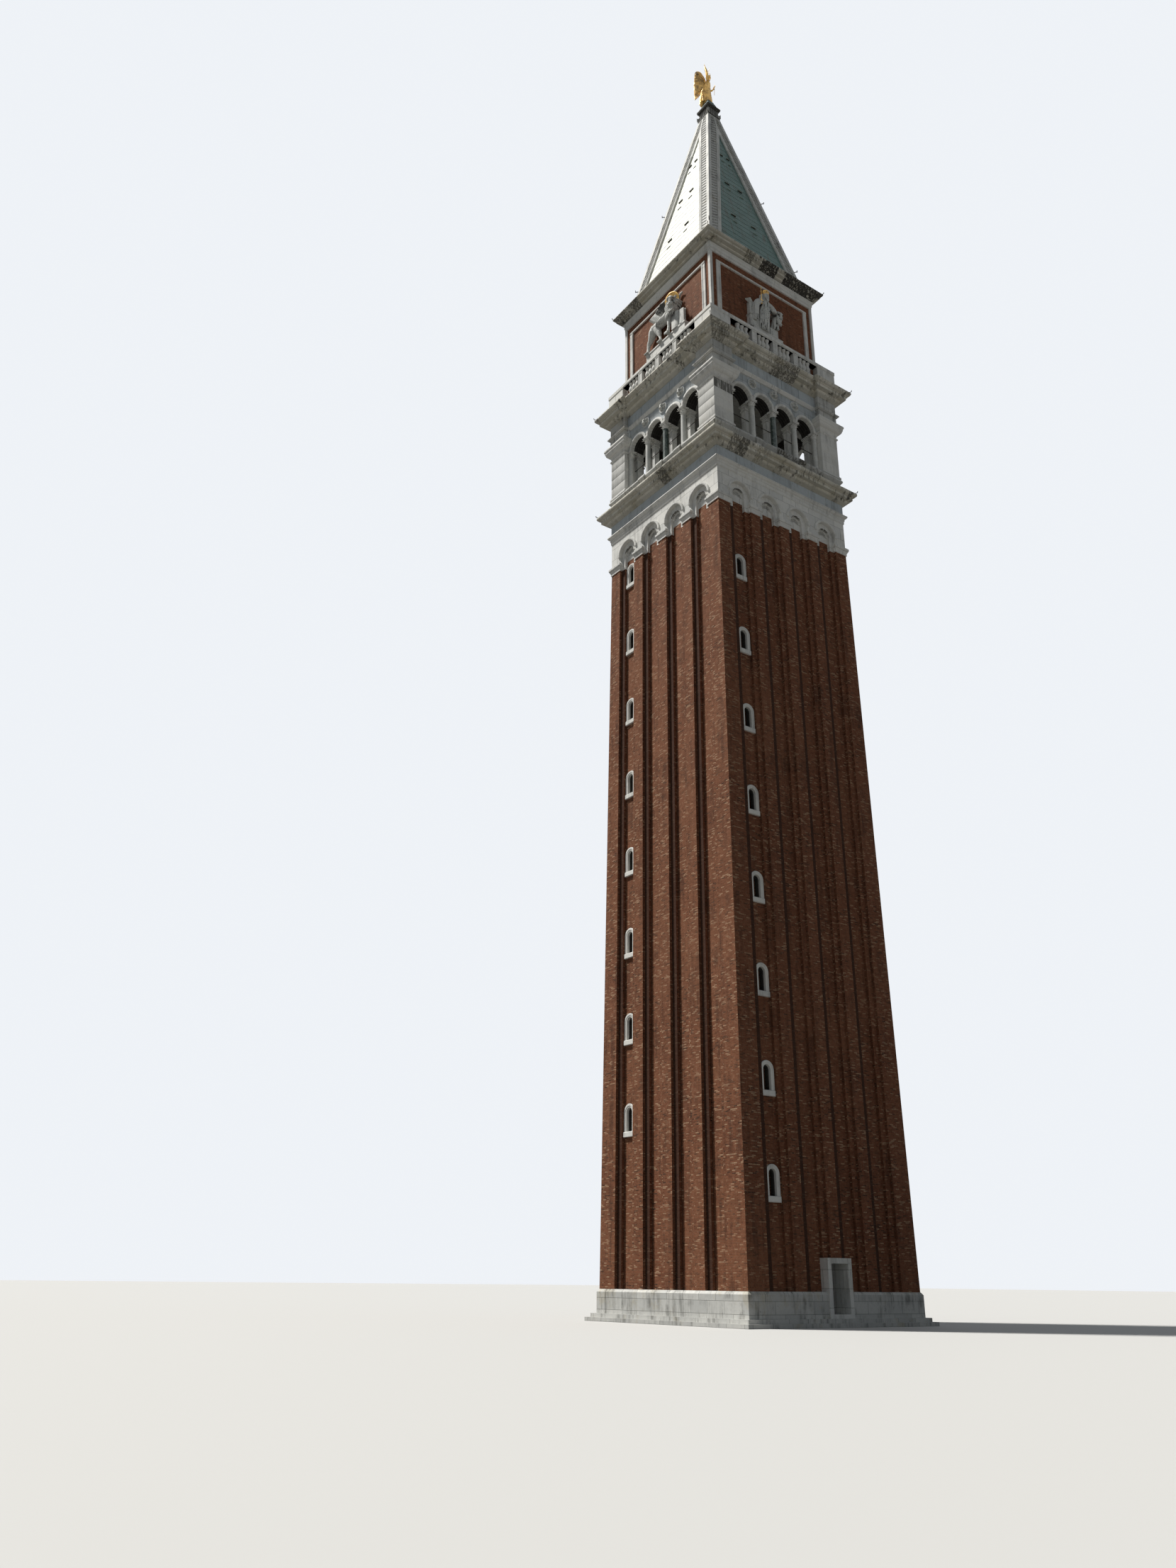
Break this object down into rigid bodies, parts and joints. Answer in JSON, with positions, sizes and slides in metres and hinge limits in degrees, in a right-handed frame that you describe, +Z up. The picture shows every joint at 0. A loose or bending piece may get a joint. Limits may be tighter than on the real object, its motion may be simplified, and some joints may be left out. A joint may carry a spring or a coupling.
{
  "type": "square brick bell tower, scale model at 1:10",
  "caption": "Tall square brick bell tower with pilaster strips, arched stone belfry, brick attic with reliefs, green pyramid spire and a turning gilded angel; 1:10 scale.",
  "frame": {"origin": "middle of the underside of the lowest step", "axes": "+Z up; +X to the east face, which has the doorway; -Y to the south face with the winged lion; the picture looks at the edge between +X and -Y"},
  "size_m": [1.358, 1.358, 9.8601],
  "materials": {
    "brick": "red-brown brick with pale bricks scattered in it",
    "grey_stone": "weathered grey limestone with dark and yellow stains",
    "white_stone": "pale dressed limestone",
    "dark_marble": "polished dark green-grey marble",
    "copper_sheet": "copper sheet with green patina",
    "bronze": "dark weathered bronze",
    "gilding": "gilded metal, dulled in the folds"
  },
  "bodies": {
    "tower": {"base_steps": "grey_stone", "stone_socle": "grey_stone", "ground_floor": "grey_stone", "door_surround": "white_stone", "shaft_wall_south": "brick", "shaft_wall_east": "brick", "shaft_wall_north": "brick", "shaft_wall_west": "brick", "window_frames_south": "white_stone", "window_frames_east": "white_stone", "window_frames_north": "white_stone", "window_frames_west": "white_stone", "blind_arches_south": "white_stone", "blind_arches_east": "white_stone", "blind_arches_north": "white_stone", "blind_arches_west": "white_stone", "lower_architrave": "grey_stone", "lower_cornice": "grey_stone", "belfry_floor": "grey_stone", "belfry_plinth": "grey_stone", "corner_piers": "white_stone", "pier_capitals": "white_stone", "pale_columns": "white_stone", "dark_columns": "dark_marble", "column_capitals": "white_stone", "inner_pillars": "white_stone", "belfry_arcade_south": "white_stone", "belfry_arcade_east": "white_stone", "belfry_arcade_north": "white_stone", "belfry_arcade_west": "white_stone", "upper_architrave": "grey_stone", "upper_cornice": "grey_stone", "belfry_terrace": "grey_stone", "balustrade_south": "white_stone", "balustrade_east": "white_stone", "balustrade_north": "white_stone", "balustrade_west": "white_stone", "attic_walls": "brick", "attic_strips": "white_stone", "winged_lions": "white_stone", "robed_figures": "white_stone", "attic_cornice": "grey_stone", "spire_shell": "copper_sheet", "spire_ribs": "white_stone", "spire_pedestal": "grey_stone", "vane_base": "bronze"},
    "angel": {"vane_socket": "gilding", "gilded_angel": "gilding"}
  },
  "joints": [
    {"name": "angel_turn", "type": "hinge", "parent": "tower", "child": "angel", "pos_m": [0, 0, 9.4], "axis": [0, 0, 1], "continuous": true}
  ]
}
